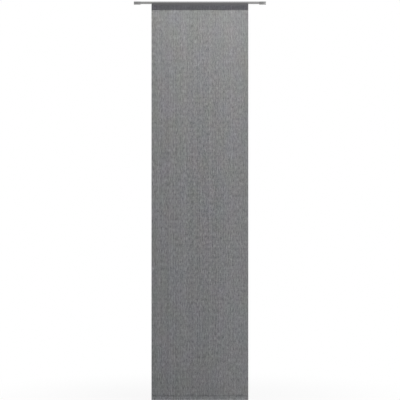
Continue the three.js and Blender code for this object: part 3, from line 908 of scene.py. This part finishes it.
# Weight bar: a flat aluminium bar in its mill finish that keeps the cloth straight, with a moulded cup on
# each end so that it can be slid into the hem without catching.

bar_finish = finish_of(
    "bar_aluminium",
    (0.60, 0.60, 0.595),
    metallic=1.0,
    roughness=0.44,
    along=8.0,
    across=1200.0,
    contrast=0.15,
    depth=0.006 * MM,
    worn=(0.75, 0.75, 0.745),
)
dress("weight_bar", bar_finish)
for hand in ("left", "right"):
    dress(f"weight_bar_cap_{hand}", white_finish)


# Studio: a pale floor 18 mm below the hem, an even surround that looks white, two soft lights from the
# front right, and one behind the top of the panel, as from a high window.

WHITE = (1.0, 1.0, 1.0, 1.0)
FLOOR_COLOUR = (0.82, 0.82, 0.82, 1.0)
FLOOR_GAP = 18.0 * MM
FLOOR_SIZE = 24.0
SURROUND_LIGHT = 0.315
NEAR_GLOW = 0.91
GLOW_GROWS_FROM = 0.3
GLOW_IS_FULL_AT = 1.8


def seen_directly(tree):
    """1 for camera, mirror and glass rays, and 0 for the rays that only light the object."""
    rays = place(tree, "ShaderNodeLightPath").outputs
    reflected = work(tree, "ADD", rays["Is Glossy Ray"], rays["Is Transmission Ray"])
    direct = work(tree, "ADD", rays["Is Camera Ray"], reflected)
    return work(tree, "SUBTRACT", direct, rays["Is Diffuse Ray"], clamp=True)


def white_world():
    """White to look at, and an even, weaker light from all round."""
    world = bpy.data.worlds.new("studio")
    world.use_nodes = True
    tree = world.node_tree
    lighting = tree.nodes["Background"]
    lighting.inputs["Color"].default_value = WHITE
    lighting.inputs["Strength"].default_value = SURROUND_LIGHT
    backdrop = place(tree, "ShaderNodeBackground", {"Color": WHITE, "Strength": 1.0})
    inputs = {"Fac": seen_directly(tree), 1: lighting.outputs[0], 2: backdrop.outputs[0]}
    mix = place(tree, "ShaderNodeMixShader", inputs)
    tree.links.new(mix.outputs[0], tree.nodes["World Output"].inputs["Surface"])
    bpy.context.scene.world = world


def pale_floor():
    """Matt, with a white glow for the camera that grows away from the object until it is all glow."""
    level = cloth_low.z - FLOOR_GAP
    half = FLOOR_SIZE / 2
    form = bmesh.new()
    corners = ((-half, -half), (half, -half), (half, half), (-half, half))
    form.faces.new([form.verts.new((x, y, level)) for x, y in corners])
    floor = finished_mesh("floor", form)
    material, tree, _ = new_material("pale_floor")
    flat = stretched(tree, spot_on_object(tree), (1.0, 1.0, 0.0))
    distance = place(tree, "ShaderNodeVectorMath", {0: flat}, operation="LENGTH").outputs["Value"]
    away = {
        "Value": distance,
        "From Min": GLOW_GROWS_FROM,
        "From Max": GLOW_IS_FULL_AT,
        "To Min": NEAR_GLOW,
        "To Max": 1.0,
    }
    share = place(tree, "ShaderNodeMapRange", away, interpolation_type="SMOOTHSTEP").outputs["Result"]
    matt = place(tree, "ShaderNodeBsdfDiffuse", {"Color": FLOOR_COLOUR})
    glow = place(tree, "ShaderNodeEmission", {"Color": WHITE, "Strength": 1.0})
    glowing = work(tree, "MULTIPLY", seen_directly(tree), share)
    mix = place(tree, "ShaderNodeMixShader", {"Fac": glowing, 1: matt.outputs[0], 2: glow.outputs[0]})
    tree.links.new(mix.outputs[0], tree.nodes["Material Output"].inputs["Surface"])
    floor.data.materials.append(material)


def soft_lamp(name, spot, aim, size, power, spread=180.0, mirrored=False):
    """A rectangular soft light that the camera doesn't see, and metal only if it is to be mirrored."""
    lamp = bpy.data.lights.new(name, "AREA")
    lamp.shape = "RECTANGLE"
    lamp.size, lamp.size_y = size
    lamp.energy = power
    lamp.spread = math.radians(spread)
    made = bpy.data.objects.new(name, lamp)
    made.location = spot
    made.rotation_euler = (Vector(aim) - Vector(spot)).to_track_quat("-Z", "Y").to_euler()
    made.visible_camera = False
    made.visible_glossy = mirrored
    bpy.context.scene.collection.objects.link(made)


white_world()
pale_floor()
soft_lamp("low_softbox", spot=(1.9, -2.2, -2.1), aim=(0.0, 0.0, -2.2), size=(2.4, 0.75), power=54.0)
soft_lamp(
    "front_softbox", spot=(3.2, -3.4, -0.6), aim=(0.0, 0.0, -1.0), size=(4.6, 3.4), power=109.0, mirrored=True
)
soft_lamp(
    "high_window", spot=(0.6, 1.9, 1.1), aim=(0.2, 0.0, 0.75), size=(1.4, 1.5), power=65.0, spread=104.0
)


# Camera: square on to the panel, level with the middle of the photograph, with a long lens. The rail's
# top row and the panel's middle column place it, and the cloth's width sets its scale.

PHOTO_PIXELS = 400
MM_PER_PIXEL = 6.208
RAIL_TOP_ROW = 1.71
PANEL_MIDDLE_COLUMN = 199.9
CAMERA_DISTANCE = 9.0
SENSOR = 36.0

pixel = MM_PER_PIXEL * MM
photo_middle = PHOTO_PIXELS / 2
camera_data = bpy.data.cameras.new("camera")
camera_data.sensor_width = SENSOR
camera_data.lens = SENSOR * CAMERA_DISTANCE / (PHOTO_PIXELS * pixel)
camera = bpy.data.objects.new("camera", camera_data)
camera.location = (
    (photo_middle - PANEL_MIDDLE_COLUMN) * pixel,
    -CAMERA_DISTANCE,
    (RAIL_TOP_ROW - photo_middle) * pixel,
)
camera.rotation_euler = (math.radians(90.0), 0.0, 0.0)
bpy.context.scene.collection.objects.link(camera)
bpy.context.scene.camera = camera
bpy.context.scene.view_settings.view_transform = "Standard"
